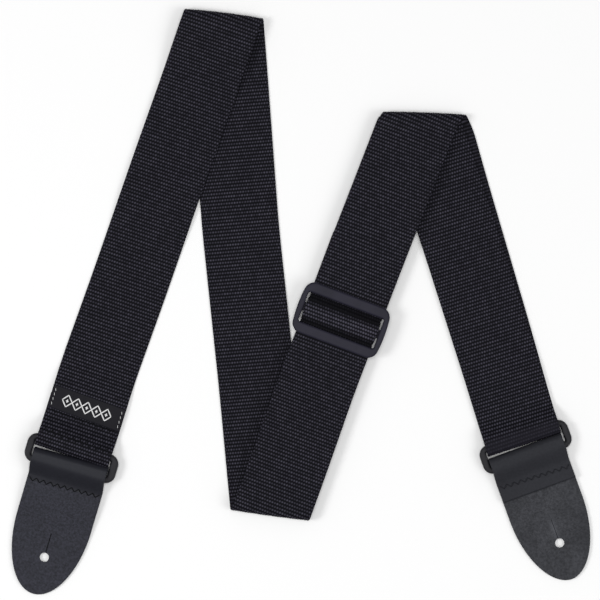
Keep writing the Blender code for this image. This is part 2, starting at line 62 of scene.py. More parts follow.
# Route of the webbing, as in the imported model
WIDTH = 50 * MM
THICKNESS = 1.2 * MM
GAP = 0.3 * MM
FLOOR_LAYER = THICKNESS / 2
SECOND_LAYER = FLOOR_LAYER + THICKNESS + GAP
LEFT_LOOP = np.array((-150.0, -101.9)) * MM
FOLD_1 = np.array((-49.4, 188.6)) * MM
FOLD_2 = np.array((-20.5, -140.4)) * MM
FOLD_3 = np.array((79.1, 124.0)) * MM
FOLD_3_DRIFT = np.array((3.3, 0)) * MM
RIGHT_LOOP = np.array((146.5, -94.4)) * MM
INNER_FOLD_SETBACK = 3.9 * MM
FOLD_REACH = 16 * MM
RIGHT_LOOP_REACH = 38 * MM
LEFT_LOOP_TILT = math.radians(-18.3)
LEFT_TAIL = 30 * MM
BULGE_HALF_WIDTH = 0.55 * WIDTH
BULGE_REACH = 9 * MM
LOOP_ASKEW = 0.022
LOOP_ASKEW_REACH = 9 * MM

# Rings and leather tabs
RING_WIDTH = 19.2 * MM
RING_BAR = 4.5 * MM
RING_THICKNESS = 3.6 * MM
RING_OUTER_CORNER = 6.5 * MM
RING_INNER_CORNER = 0.4 * MM
RING_ROUNDING = (1.7 * MM, 1.6 * MM)
BAR_SPACING = RING_WIDTH - RING_BAR
BAR_CLEARANCE = 2.5 * MM
LEATHER = 2 * MM
BAR_HEIGHT = BAR_CLEARANCE + LEATHER
LOOP_RADIUS = BAR_CLEARANCE + THICKNESS / 2
LOOP_HOLD = BAR_SPACING / 2 + BAR_CLEARANCE
LOOP_EASE = 24 * MM
TAB_WIDTH = 50 * MM
TAB_LENGTH = 84 * MM
TAB_TIP_LENGTH = 49 * MM
TAB_ROLL_RADIUS = BAR_CLEARANCE + LEATHER / 2
TAB_ROLL_FROM = -1 * MM
TAB_FLAP_END = 22.2 * MM
TAB_FLAT_FROM = 44 * MM
TAB_ROUNDING = 0.6 * MM
HOLE_DIAMETER = 6 * MM
HOLE_FROM_TIP = 24.8 * MM
SLIT_LENGTH = 14.6 * MM
SLIT_FLOOR = 0.2 * MM
CUT_DEPTH = 10 * MM

# What differs between the two ends of the strap
LEFT = SimpleNamespace(
    word="left", tilt=math.radians(-16.5), flap_on_top=False,
    ring_length=61.2 * MM, ring_end=5.1 * MM, opening_shift=-0.3 * MM,
    ring_play=(-0.15 * MM, 0.5 * MM), ring_twist=0,
    tab_shift=0.7 * MM, tab_skew=0, seam=10.2 * MM, seam_slant=-0.028, tip_taper=1.0,
    hole_shift=0.4 * MM, slit_width=0.7 * MM,
    loop_reach=8.9 * MM, loop_lean=0.02, loop_shift=-0.9 * MM)
RIGHT = SimpleNamespace(
    word="right", tilt=math.radians(18.9), flap_on_top=True,
    ring_length=60.6 * MM, ring_end=4.7 * MM, opening_shift=0,
    ring_play=(-0.1 * MM, 0), ring_twist=math.radians(0.95),
    tab_shift=-1 * MM, tab_skew=math.radians(1.1), seam=11.7 * MM, seam_slant=0.04, tip_taper=1.04,
    hole_shift=0.6 * MM, slit_width=0.32 * MM,
    loop_reach=8.3 * MM, loop_lean=0, loop_shift=0.45 * MM)

# Rows of a tab's mesh, and its material slots
FLAP_END_ROWS = 13
FLAP_ROWS = 34
ROLL_ROWS = 24
MAIN_ROWS = 50
TIP_ROWS = 47
GRAIN, FLESH, EDGE, BENT_SHADED = range(4)

# Slider
SLIDER_TO_FOLD_2 = 136.7 * MM
SLIDER_LENGTH = 60 * MM
SLIDER_WIDTH = 34.5 * MM
SLIDER_SIDE_BOW = 1.6 * MM
SLIDER_CORNER = 6 * MM
SLIDER_ROUNDING = (1.45 * MM, 1.15 * MM)
SLIDER_SHIFT = -1.3 * MM
WAIST = 8.2 * MM
WAIST_DEPTH = 0.022
WAIST_REACH = 1.4 * MM
OPENING_LENGTH = 52.2 * MM
OPENING_WIDTH = 20.4 * MM
OPENING_CORNER = 1.5 * MM
CENTRE_BAR_WIDTH = 6 * MM
CENTRE_BAR_THICKNESS = 2 * MM
CENTRE_BAR_BOTTOM = SECOND_LAYER + THICKNESS / 2 + GAP
CENTRE_BAR_TOP = CENTRE_BAR_BOTTOM + CENTRE_BAR_THICKNESS
RETURN_LAYER = CENTRE_BAR_TOP + GAP + THICKNESS / 2
TOP_LAYER = RETURN_LAYER + THICKNESS + GAP
OUTER_BAR_BOTTOM = TOP_LAYER + THICKNESS / 2 + GAP
OUTER_BAR_TOP = OUTER_BAR_BOTTOM + 2.4 * MM
TAIL_LAYER = RETURN_LAYER - THICKNESS - GAP
SLIDER_TAIL = 52 * MM

# Weave: a rib is one weft yarn, and the warp crosses every other rib
RIB = 2.25 * MM
FLOAT = WIDTH / 29
RIB_HEIGHT = 0.22 * MM
FLOAT_HEIGHT = 0.3 * MM
WEAVE_BASE = 0.1 * MM
# Flat tone painted over the painted groove shade and highlights where they are evened out
EVENED_SHADE_TONE = 0.33

# Sewing
ZIGZAG_POINTS = 21
SEWING_MARGIN = 1.5 * MM
SEAM_TO_ZIGZAG = 1.6 * MM
THREAD_SIDES = 8
ARC_POINTS = 9


def unit(vector):
    return vector / np.linalg.norm(vector)


def turned(angle):
    return np.array((math.cos(angle), math.sin(angle)))


def mirrored_in(axis, direction):
    return 2 * direction.dot(axis) * axis - direction


def eased(knots, distance):
    """Heights at some distances, between (distance, height) knots joined by smooth steps."""
    result = np.full(np.shape(distance), float(knots[0][1]))
    for (start, low), (end, high) in zip(knots, knots[1:]):
        part = np.clip((distance - start) / (end - start), 0, 1)
        result = result + (high - low) * part * part * (3 - 2 * part)
    return result


class Bend:
    """The strip arrives along one direction, bends over a horizontal axis and leaves."""

    def __init__(self, corner, arrives, leaves, heights_in, heights_out, side=1, drift=(0, 0),
                 face=1, bulge=0.0):
        self.corner = corner
        self.arrives = unit(arrives)
        self.leaves = unit(leaves)
        self.heights_in = heights_in
        self.heights_out = heights_out
        self.outward = unit(self.arrives - self.leaves)
        self.axis = np.array((-self.outward[1], self.outward[0]))
        self.across = np.array((self.arrives[1], -self.arrives[0])) * side
        self.radius = abs(heights_in[0][1] - heights_out[0][1]) / 2
        self.drift = np.array(drift)
        self.face = face
        self.bulge = bulge

    def place(self, along, across, lift):
        lift = lift * self.face
        flat = along[:, None] * self.arrives + across[:, None] * self.across
        depth = flat @ self.outward
        slip = flat @ self.axis
        half_arc = math.pi * self.radius / 2
        low = self.heights_in[0][1]
        high = self.heights_out[0][1]
        rising = 1 if high > low else -1
        angle = np.clip(depth / self.radius, -math.pi / 2, math.pi / 2)
        beyond = np.maximum(np.abs(depth) - half_arc, 0)
        reach = (self.radius + lift) * np.cos(angle) - half_arc - beyond
        swell = (1 - (slip / BULGE_HALF_WIDTH) ** 2) * np.exp(-(depth / BULGE_REACH) ** 2)
        reach = reach + self.bulge * swell
        curved = (low + high) / 2 + rising * (self.radius + lift) * np.sin(angle)
        before = eased(self.heights_in, -along) - low
        after = eased(self.heights_out, along) - high
        height = curved + np.where(depth < 0, before, after)
        plan = self.corner + slip[:, None] * self.axis + reach[:, None] * self.outward
        plan = plan + self.drift * eased([(-FOLD_REACH, 0), (FOLD_REACH, 1)], depth)[:, None]
        return np.column_stack((plan, height))


def make_route():
    """The bends of the strip and the length along it at each, from the left loop's corner."""
    run_1 = FOLD_1 - LEFT_LOOP
    run_2 = FOLD_2 - FOLD_1
    run_3 = FOLD_3 - FOLD_2
    run_4 = RIGHT_LOOP - FOLD_3 - FOLD_3_DRIFT
    inner_fold = FOLD_3 - INNER_FOLD_SETBACK * unit(run_3)
    run_5 = inner_fold - RIGHT_LOOP
    length_1 = np.linalg.norm(run_1)
    loop_low = BAR_HEIGHT - LOOP_RADIUS
    loop_high = BAR_HEIGHT + LOOP_RADIUS
    # Run 1 climbs over its own hidden tail, comes down, and climbs over run 2 before the fold
    over_tail = [(LOOP_HOLD, loop_high), (LOOP_EASE, SECOND_LAYER), (44 * MM, SECOND_LAYER),
                 (62 * MM, FLOOR_LAYER), (length_1 - 165 * MM, FLOOR_LAYER),
                 (length_1 - 128 * MM, SECOND_LAYER), (length_1 - 62 * MM, SECOND_LAYER),
                 (length_1 - FOLD_REACH, TOP_LAYER)]
    into_fold_1 = [(length_1 - distance, height) for distance, height in reversed(over_tail)]
    tail = mirrored_in(turned(LEFT_LOOP_TILT), unit(run_1))
    low_side = [(LOOP_HOLD, loop_low), (LOOP_EASE, FLOOR_LAYER)]
    high_side = [(LOOP_HOLD, loop_high), (LOOP_EASE, SECOND_LAYER)]
    bends = [
        Bend(LEFT_LOOP, tail, run_1, low_side, over_tail),
        Bend(FOLD_1, run_1, run_2, into_fold_1, [(0, FLOOR_LAYER)], -1, bulge=0.8 * MM),
        Bend(FOLD_2, run_2, run_3, [(0, FLOOR_LAYER)], [(0, TOP_LAYER)], bulge=0.4 * MM),
        Bend(FOLD_3, run_3, run_4, [(0, TOP_LAYER)], [(0, FLOOR_LAYER)], -1, FOLD_3_DRIFT,
             bulge=0.5 * MM),
        Bend(RIGHT_LOOP, run_4, run_5, low_side, high_side),
        Bend(inner_fold, run_5, -run_3, [(0, SECOND_LAYER)], [(0, RETURN_LAYER)], -1, face=-1),
    ]
    lengths = [0.0]
    for run in (run_1, run_2, run_3, run_4, run_5):
        lengths.append(lengths[-1] + np.linalg.norm(run))
    return bends, lengths


BENDS, AT = make_route()
BEND_FROM = [-1.0] + [at - FOLD_REACH for at in AT[1:4]]
BEND_FROM += [AT[4] - RIGHT_LOOP_REACH, AT[5] - FOLD_REACH]
DIRECTION_3 = unit(FOLD_3 - FOLD_2)
SLIDER_AT = AT[2] + SLIDER_TO_FOLD_2
SLIDER_WAISTS = (SLIDER_AT - WAIST, SLIDER_AT + WAIST)
SLIDER_CENTRE = FOLD_2 + SLIDER_TO_FOLD_2 * DIRECTION_3
SLIDER_TURN = math.atan2(DIRECTION_3[1], DIRECTION_3[0]) - math.pi / 2
SLIDER_SEAT = SLIDER_CENTRE + SLIDER_SHIFT * turned(SLIDER_TURN)
LOOP_BEND_RADIUS = (RETURN_LAYER - SECOND_LAYER) / 2
BAR_REACH = CENTRE_BAR_WIDTH / 2 + math.pi * LOOP_BEND_RADIUS / 2
STRAND_END = np.linalg.norm(BENDS[5].corner - SLIDER_CENTRE) - SLIDER_TAIL


def make_sway():
    """How far the webbing wanders to one side, at lengths along it."""
    knots = []
    # For each run, distances from its start and shifts, both in millimetres
    for number, run in enumerate((
            ((0, 0.5), (25, 0.1), (60, -1.2), (120, -0.5), (200, -0.5), (260, 0)),
            ((0, 0), (140, -1.9), (245, 0.0)),
            ((0, 0.5), (40, -0.1), (95, -1.5), (170, -1.2), (265, -0.3)),
            ((0, 0), (13, 0.6), (55, 0.1), (150, 0.1), (200, -0.4)),
            ((0, -0.3), (55, 0.45), (140, 0.6)),
            ((0, 0), (95, -1.15)))):
        knots += [(AT[number] + length * MM, shift * MM) for length, shift in run]
    return np.array(knots).T


SWAY = make_sway()


def sway(length):
    """The wander at some lengths, averaged over a short stretch so that it has no corners."""
    return np.mean([np.interp(length + step * MM, *SWAY) for step in (-12, -8, -4, 0, 4, 8, 12)],
                   axis=0)


def on_strip(length, across, lift):
    """Places points of the strip by their length along it, counted from the left loop."""
    length, across, lift = np.broadcast_arrays(length, across, lift)
    points = np.zeros((len(length), 3))
    nearest = np.searchsorted(BEND_FROM, length, side="right") - 1
    for number, bend in enumerate(BENDS):
        chosen = nearest == number
        if chosen.any():
            points[chosen] = bend.place(length[chosen] - AT[number], across[chosen], lift[chosen])
    points[:, 0] += sway(length)
    # The right loop sits a little askew on its ring
    right = turned(RIGHT.tilt)
    near = LOOP_ASKEW * np.exp(-((length - AT[4]) / LOOP_ASKEW_REACH) ** 4)
    from_middle = (points[:, :2] - np.array(RIGHT_LOOP)) @ right
    points[:, 0] -= near * from_middle * right[1]
    points[:, 1] += near * from_middle * right[0]
    return points


def weave_height(length, across):
    """How high the ribs and the warp floats on them stand, and each float's unevenness."""
    rib = length / RIB
    row = np.round(rib)
    ridge = np.cos(math.pi * (rib - row)) ** 0.8
    shifted = across / FLOAT + 0.5 * (row % 2)
    cell = np.round(shifted)
    crest = 0.5 + 0.5 * np.cos(2 * math.pi * (shifted - cell))
    # A repeatable number from 0 to 1 for each float
    uneven = np.modf(np.abs(np.sin(row * 12.9898 + cell * 78.233)) * 43758.5453)[0]
    return ridge, crest * (0.7 + 0.3 * uneven), uneven


def add_object(name, data):
    thing = bpy.data.objects.new(name, data)
    bpy.context.scene.collection.objects.link(thing)
    return thing


def build_mesh(name, points, quads, caps=(), uv=None, weave_shading=None, materials=()):
    """A mesh object from arrays, with an optional map along and across the strip."""
    mesh = bpy.data.meshes.new(name)
    mesh.vertices.add(len(points))
    mesh.vertices.foreach_set("co", np.asarray(points, np.float32).ravel())
    loops = np.concatenate((quads.ravel(), *caps))
    sizes = [4] * len(quads) + [len(cap) for cap in caps]
    starts = np.cumsum([0] + sizes[:-1])
    mesh.loops.add(len(loops))
    mesh.loops.foreach_set("vertex_index", loops.astype(np.int32))
    mesh.polygons.add(len(sizes))
    mesh.polygons.foreach_set("loop_start", starts.astype(np.int32))
    mesh.update(calc_edges=True)
    mesh.validate()
    if uv is not None:
        layer = mesh.uv_layers.new(name="strip")
        indices = np.zeros(len(mesh.loops), np.int32)
        mesh.loops.foreach_get("vertex_index", indices)
        layer.data.foreach_set("uv", np.asarray(uv, np.float32)[indices].ravel())
    # Per-point tone of the strip: its weave pattern, with painted shade in the grooves and painted
    # highlight on the float tops
    if weave_shading is not None:
        attribute = mesh.attributes.new("weave_shading", "FLOAT", "POINT")
        attribute.data.foreach_set("value", np.asarray(weave_shading, np.float32))
    mesh.shade_smooth()
    for material in materials:
        mesh.materials.append(material)
    return add_object(name, mesh)


def grid_quads(rows, columns, closed=False):
    """Quads of a grid of points, row by row; if closed, its last column meets its first."""
    row, column = np.meshgrid(np.arange(rows - 1), np.arange(columns if closed else columns - 1),
                              indexing="ij")
    after = (column + 1) % columns
    return np.stack((row * columns + column, row * columns + after,
                     (row + 1) * columns + after, (row + 1) * columns + column), -1).reshape(-1, 4)


def weld(mesh):
    """Joins points that coincide and turns all faces outwards."""
    solid = bmesh.new()
    solid.from_mesh(mesh)
    bmesh.ops.remove_doubles(solid, verts=solid.verts, dist=0.002 * MM)
    bmesh.ops.dissolve_degenerate(solid, dist=0.0005 * MM, edges=solid.edges)
    bmesh.ops.recalc_face_normals(solid, faces=solid.faces)
    solid.to_mesh(mesh)
    solid.free()


def walls(boundary, total):
    """Quads between a closed line of points and the same line in the next sheet of points."""
    after = np.roll(boundary, -1)
    return np.column_stack((boundary, after, after + total, boundary + total))


def section(top_step, bottom_step):
    """The strip's closed cross-section: distances across, and sides (1 face, -1 back)."""
    half = WIDTH / 2
    edge = 0.35 * MM
    top = np.arange(-half + edge, half - edge + top_step / 4, top_step)
    top = np.linspace(-half + edge, half - edge, len(top))
    bottom = np.linspace(half - edge, -half + edge, max(3, int(2 * half / bottom_step)))
    across = np.concatenate((top, (half, half), bottom, (-half, -half)))
    side = np.concatenate((np.ones(len(top)), (0.45, -0.45), -np.ones(len(bottom)), (-0.45, 0.45)))
    return across, side


def ribbon(name, start, end, face_step=FLOAT / 4, back_step=FLOAT / 4, place=on_strip,
           waists=(), shade=None, worn=None):
    """A stretch of webbing, woven on both sides, with closed ends.

    It is a little narrower at its waists, the shade paints shade and highlight along its length,
    and where a flat tone is painted over its painted groove shade and highlights, its ribs stand
    out less.
    """
    first = math.ceil(start / (RIB / 4) + 0.01)
    last = math.floor(end / (RIB / 4) - 0.01)
    lengths = np.concatenate(([start], np.arange(first, last + 1) * RIB / 4, [end]))
    across, side = section(face_step, back_step)
    rows, columns = len(lengths), len(across)
    length_grid, across_grid = (a.ravel() for a in np.meshgrid(lengths, across, indexing="ij"))
    side_grid = np.tile(side, rows)
    ridge, crest, uneven = weave_height(length_grid, across_grid + (side_grid < 0) * FLOAT / 2)
    # Painted shade darkens the grooves between ribs and between floats, and painted highlight
    # lightens the tops of the floats; every other rib is a little darker
    pairs = 0.96 + 0.04 * (-1) ** np.round(length_grid / RIB)
    columns_tone = 0.06 * np.cos(4 * math.pi * across_grid / FLOAT)
    tone = ridge ** 2.2 * (0.27 + 0.85 * crest + columns_tone) * (0.85 + 0.15 * uneven) * pairs
    # Painted shade along the length, and painted highlight where the factor is over one
    if shade:
        tone = tone * shade(length_grid)
    # Painted flat tone: evens out the painted groove shade and highlights
    if worn:
        tone = tone + worn(length_grid) * (EVENED_SHADE_TONE - tone)
    for waist in waists:
        narrowing = WAIST_DEPTH * np.exp(-((length_grid - waist) / WAIST_REACH) ** 2)
        across_grid = across_grid * (1 - narrowing)
    rise = WEAVE_BASE + RIB_HEIGHT * ridge + FLOAT_HEIGHT * ridge * crest
    points = place(length_grid, across_grid, side_grid * rise)
    caps = (np.arange(columns), (rows - 1) * columns + np.arange(columns)[::-1])
    uv = np.column_stack((across_grid, length_grid))
    return build_mesh(name, points, grid_quads(rows, columns, True)[:, ::-1], caps, uv,
                      tone, [WEBBING])


# ---------------- materials

COOL_TINT = (0.92, 0.95, 1, 1)


class Nodes:
    """Short calls for building a material's node tree."""

    def __init__(self, name):
        self.material = bpy.data.materials.new(name)
        self.material.use_nodes = True
        self.tree = self.material.node_tree
        self.shader = self.tree.nodes["Principled BSDF"]

    def feed(self, socket, value):
        """Links a node's output to a socket, or sets the socket itself to a constant."""
        if hasattr(value, "links"):
            self.tree.links.new(value, socket)
        else:
            socket.default_value = value

    def add(self, kind, sockets=None, **settings):
        node = self.tree.nodes.new(kind)
        for key, value in settings.items():
            setattr(node, key, value)
        for key, value in (sockets or {}).items():
            self.feed(node.inputs[key], value)
        return node

    def set(self, **values):
        for key, value in values.items():
            self.feed(self.shader.inputs[key.replace("_", " ")], value)

    def noise(self, coordinates, scale, detail=3.0, roughness=0.6):
        return self.add("ShaderNodeTexNoise", {
            "Vector": coordinates, "Scale": scale, "Detail": detail,
            "Roughness": roughness}).outputs["Fac"]

    def stretched(self, coordinates, scale):
        return self.add("ShaderNodeMapping",
                        {"Vector": coordinates, "Scale": scale}).outputs["Vector"]

    def ramp(self, value, stops):
        node = self.add("ShaderNodeValToRGB", {"Fac": value})
        elements = node.color_ramp.elements
        while len(elements) < len(stops):
            elements.new(0.5)
        for element, (position, colour) in zip(elements, stops):
            element.position = position
            element.color = (*colour, 1)
        return node.outputs["Color"]

    def mix(self, factor, first, second, blend="MIX"):
        return self.add("ShaderNodeMix", {0: factor, 6: first, 7: second},
                        data_type="RGBA", blend_type=blend).outputs[2]

    def math(self, operation, *values):
        return self.add("ShaderNodeMath", dict(enumerate(values)), operation=operation).outputs[0]

    def bump(self, height, strength, distance, normal=None):
        node = self.add("ShaderNodeBump", {"Strength": strength, "Distance": distance,
                                           "Height": height})
        if normal:
            self.feed(node.inputs["Normal"], normal)
        return node.outputs["Normal"]

    def worn_streak(self, place, centre, turn, size):
        """A soft-edged streak, from 0 around it to 1 along its middle."""
        spot = self.add("ShaderNodeMapping", {"Location": centre, "Rotation": (0, 0, turn),
                                              "Scale": size, "Vector": place},
                        vector_type="TEXTURE").outputs["Vector"]
        return self.add("ShaderNodeTexGradient", {"Vector": spot},
                        gradient_type="QUADRATIC_SPHERE").outputs["Fac"]

    def object_coordinates(self):
        return self.add("ShaderNodeTexCoord").outputs["Object"]

    def strip_coordinates(self):
        return self.add("ShaderNodeUVMap", uv_map="strip").outputs["UV"]


def webbing_material():
    n = Nodes("webbing_black")
    strip = n.strip_coordinates()
    # The strip's per-point tone carries painted shade in the grooves and painted highlight on the
    # float tops; the ramp below turns it into colour
    weave_shading = n.add("ShaderNodeAttribute", attribute_name="weave_shading").outputs["Fac"]
    fibres = n.noise(n.stretched(strip, (9000, 900, 1)), 1.0, 2.0)
    patches = n.noise(n.stretched(strip, (60, 60, 1)), 1.0, 2.0)
    shaded_yarn = n.ramp(weave_shading, [(0.0, (0.0006, 0.0006, 0.0009)), (0.18, (0.0045, 0.0043, 0.0062)),
                          (0.45, (0.023, 0.0220, 0.0310)), (0.9, (0.082, 0.078, 0.105))])
    worn = n.mix(n.math("MULTIPLY", fibres, 0.15), shaded_yarn, (0.005, 0.0047, 0.0072, 1))
    varied = n.mix(n.math("MULTIPLY", patches, 0.2), worn, (0.003, 0.0028, 0.0046, 1))
    n.set(Base_Color=varied, Normal=n.bump(fibres, 0.35, 0.00012),
          Roughness=n.math("MULTIPLY_ADD", fibres, 0.25, 0.5), Specular_IOR_Level=0.05)
    return n.material


def leather_material(name, base, grain_scale, grain, mottle, depth, roughness, specular,
                     worn=None):
    """Leather: a fine pebble grain over slow colour changes, and perhaps a lighter, worn streak."""
    n = Nodes(name)
    place = n.object_coordinates()
    wander = n.noise(place, 260, 3.0)
    warped = n.mix(0.0025, place, n.add("ShaderNodeTexNoise").outputs["Color"])
    cells = n.add("ShaderNodeTexVoronoi", {"Scale": grain_scale, "Vector": warped},
                  feature="DISTANCE_TO_EDGE")
    fine = n.noise(place, grain_scale * 2.2, 4.0, 0.7)
    creases = n.ramp(cells.outputs["Distance"], [(0.0, (0, 0, 0)), (0.22, (1, 1, 1))])
    pebbles = n.noise(place, 760, 2.0, 0.6)
    slow = n.noise(place, 34, 4.0, 0.62)
    dark = tuple(c * (1 - mottle) for c in base)
    light = tuple(c * (1 + mottle) for c in base)
    tone = n.ramp(slow, [(0.3, dark), (0.7, light)])
    speckled = n.mix(n.math("MULTIPLY", wander, mottle), tone, (*light, 1))
    spots = n.ramp(pebbles, [(0.32, (depth,) * 3), (0.68, (2 - depth,) * 3)])
    pebbled = n.mix(1.0, speckled, spots, "MULTIPLY")
    grained = n.mix(n.math("MULTIPLY", fine, 0.3), pebbled, (*dark, 1))
    if worn:
        grained = n.mix(n.worn_streak(place, *worn), grained, (*(2.1 * c for c in base), 1))
    n.set(Base_Color=grained, Normal=n.bump(fine, grain, 0.00012, n.bump(creases, grain, 0.00010)),
          Roughness=roughness, Specular_IOR_Level=specular, Specular_Tint=COOL_TINT)
    return n.material


def plastic_material(name, dark, light):
    n = Nodes(name)
    place = n.object_coordinates()
    fine = n.noise(place, 1900, 2.0)
    slow = n.noise(place, 70, 3.0)
    n.set(Base_Color=n.ramp(slow, [(0.25, dark), (0.75, light)]),
          Normal=n.bump(fine, 0.4, 0.00010), Roughness=0.6, Specular_IOR_Level=0.25)
    return n.material


def label_material():
    n = Nodes("label_satin")
    strip = n.strip_coordinates()
    twill = n.add("ShaderNodeTexWave",
                  {"Scale": 1.0, "Vector": n.stretched(strip, (1400, 1400, 1))},
                  wave_type="BANDS", bands_direction="DIAGONAL").outputs["Fac"]
    threads = n.noise(n.stretched(strip, (500, 6000, 1)), 1.0, 2.0)
    tone = n.ramp(threads, [(0.3, (0.0030, 0.0028, 0.0050)), (0.7, (0.0070, 0.0066, 0.0105))])
    n.set(Base_Color=tone, Normal=n.bump(twill, 0.3, 0.00006), Roughness=0.6,
          Specular_IOR_Level=0.15)
    return n.material


def thread_material(name, colour, roughness, specular=0.5):
    n = Nodes(name)
    ply = n.noise(n.object_coordinates(), 2600, 2.0)
    tone = n.mix(n.math("MULTIPLY", ply, 0.6), (*colour, 1), (*(c * 0.55 for c in colour), 1))
    n.set(Base_Color=tone, Normal=n.bump(ply, 0.5, 0.0001), Roughness=roughness,
          Specular_IOR_Level=specular, Specular_Tint=COOL_TINT)
    return n.material


WEBBING = webbing_material()
GRAIN_SIDE = leather_material("leather_grain", (0.0185, 0.0186, 0.0265), 1500, 0.35, 0.10, 0.45,
                              0.6, 0.22)
FLAP_GRAIN = leather_material("leather_flap", (0.0160, 0.0164, 0.0205), 2200, 0.14, 0.08, 0.85,
                              0.62, 0.2)
# A darker copy of the grain leather for the bent band by the left ring: a smoother, stretched
# grain, and a darker base that is painted shade for the band's slope
SHADED_BENT_GRAIN = leather_material("leather_bent_grain_shaded", (0.0108, 0.0110, 0.0155), 2200, 0.12, 0.08,
                              0.85, 0.5, 0.20)
FLESH_SIDE = leather_material("leather_flesh", (0.036, 0.037, 0.042), 900, 0.7, 0.30, 0.65,
                              0.8, 0.2,
                              worn=((0.1650, -0.1480, 0), math.radians(20), (0.0042, 0.0135, 1)))
CUT_EDGE = leather_material("leather_edge", (0.016, 0.016, 0.018), 1800, 0.8, 0.25, 0.6, 0.75, 0.2)
RING_PLASTIC = plastic_material("ring_plastic", (0.0082, 0.0080, 0.0105), (0.0140, 0.0136, 0.0172))
SLIDER_PLASTIC = plastic_material("slider_plastic", (0.0074, 0.0068, 0.0150),
                                  (0.0134, 0.0122, 0.0245))
LABEL = label_material()
BLACK_THREAD = thread_material("black_thread", (0.0025, 0.0025, 0.0035), 0.6, 0.12)
DUSTY_THREAD = thread_material("dusty_thread", (0.014, 0.014, 0.018), 0.7, 0.2)
WHITE_THREAD = thread_material("white_thread", (0.82, 0.82, 0.82), 0.6)


# ---------------- webbing

def stretch(name, start, end, nodes, body, **steps):
    """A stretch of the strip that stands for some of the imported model's stretches."""
    piece = ribbon(name, start, end, **steps)
    finish_webbing(nodes)
    if body:
        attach(piece, body)
    return piece


def finish_webbing(nodes):
    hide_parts(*nodes)


def make_webbing():
    coarse = FLOAT * 2
    tail_start = -(BAR_SPACING / 2 + LEFT_TAIL)
    meet_1 = AT[1] + FOLD_REACH
    meet_2 = AT[2] - FOLD_REACH
    meet_3 = AT[3] + FOLD_REACH
    meet_4 = AT[4] - RIGHT_LOOP_REACH
    meet_5 = AT[5] + FOLD_REACH
    stretch("webbing_run_1_and_fold", tail_start, meet_1,
            ["webbing_left_loop", "webbing_run_1", "webbing_fold_1"], "strap", back_step=coarse)
    stretch("webbing_run_2", meet_1, meet_2, ["webbing_run_2"], "strap", face_step=coarse)
    stretch("webbing_run_3_and_folds", meet_2, meet_3,
            ["webbing_fold_2", "webbing_run_3", "webbing_fold_3"], "strap", back_step=coarse,
            waists=SLIDER_WAISTS)
    stretch("webbing_run_4", meet_3, meet_4, ["webbing_run_4"], "strap",
            face_step=coarse, back_step=FLOAT / 2)
    # Near the right ring's bar the painted groove shade and highlights are evened to a flat painted
    # tone, where the bend shows the ribs less
    stretch("webbing_return_run", meet_4, meet_5,
            ["webbing_right_loop", "webbing_return_run", "webbing_return_fold"], "strap",
            back_step=coarse, worn=lambda length: 0.7 * np.exp(
                -((length - AT[4] - 4 * MM) / (8 * MM)) ** 4))
    strand_end = AT[5] + STRAND_END
    strand = stretch("webbing_return_strand", meet_5, strand_end,
                     ["webbing_return_strand"], None, face_step=coarse, back_step=coarse)
    start, end = on_strip(np.array([meet_5, strand_end]), 0.0, 0.0)
    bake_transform(strand)


# ---------------- plates, rings and slider

def rounded_outline(half_length, half_width, corner, bow=0.0, steps=10):
    """Points of a rounded rectangle whose two ends may bow outwards."""
    points = []
    for quarter in range(4):
        sign_x = 1 if quarter in (0, 3) else -1
        sign_y = 1 if quarter in (0, 1) else -1
        centre = np.array((sign_x * (half_length - corner), sign_y * (half_width - corner)))
        start = quarter * math.pi / 2
        for angle in np.linspace(start, start + math.pi / 2, steps + 1):
            points.append(centre + corner * turned(angle))
        if bow and quarter in (1, 3):
            side = -1 if quarter == 1 else 1
            for part in np.linspace(-0.8, 0.8, 11):
                points.append(np.array((side * half_length, side * part * (half_width - corner))))
    for point in points:
        point[0] *= 1 - bow / half_length * (point[1] / half_width) ** 2
    return points


SHARP = math.radians(35)


def evaluated_mesh(thing):
    return bpy.data.meshes.new_from_object(
        thing.evaluated_get(bpy.context.evaluated_depsgraph_get()))


def add_plate(name, outline, bottom, top):
    """A flat plate with square edges."""
    curve = bpy.data.curves.new(name, "CURVE")
    curve.dimensions = "2D"
    curve.fill_mode = "BOTH"
    curve.extrude = (top - bottom) / 2
    spline = curve.splines.new("POLY")
    spline.use_cyclic_u = True
    spline.points.add(len(outline) - 1)
    for point, place in zip(spline.points, outline):
        point.co = (*place, 0.0, 1.0)
    source = add_object(name, curve)
    mesh = evaluated_mesh(source)
    bpy.data.objects.remove(source, do_unlink=True)
    weld(mesh)
    mesh.transform(Matrix.Translation((0, 0, (top + bottom) / 2)))
    return add_object(name, mesh)


def combined(piece, others, operation):
    """Joins the others on or cuts them out, and bakes the result into the piece's mesh."""
    for other in others:
        boolean = piece.modifiers.new(other.name, "BOOLEAN")
        boolean.operation = operation
        boolean.object = other
        boolean.solver = "EXACT"
    bpy.context.view_layer.update()
    mesh = evaluated_mesh(piece)
    piece.modifiers.clear()
    piece.data = mesh
    for other in others:
        bpy.data.objects.remove(other, do_unlink=True)
    mesh.shade_smooth()
    mesh.set_sharp_from_angle(angle=SHARP)


def set_down(piece, place, turn):
    piece.data.transform(Matrix.Translation(place) @ Matrix.Rotation(turn, 4, "Z"))


def axes(tilt):
    """The right and up directions of something turned by an angle."""
    return Vector((*turned(tilt), 0)), Vector((*turned(tilt + math.pi / 2), 0))


def bar_of(kit):
    """The axis of a ring's upper bar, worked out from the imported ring's box."""
    low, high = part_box(f"{kit.word}_ring")
    return (low + high) / 2 + axes(kit.tilt)[1] * BAR_SPACING / 2


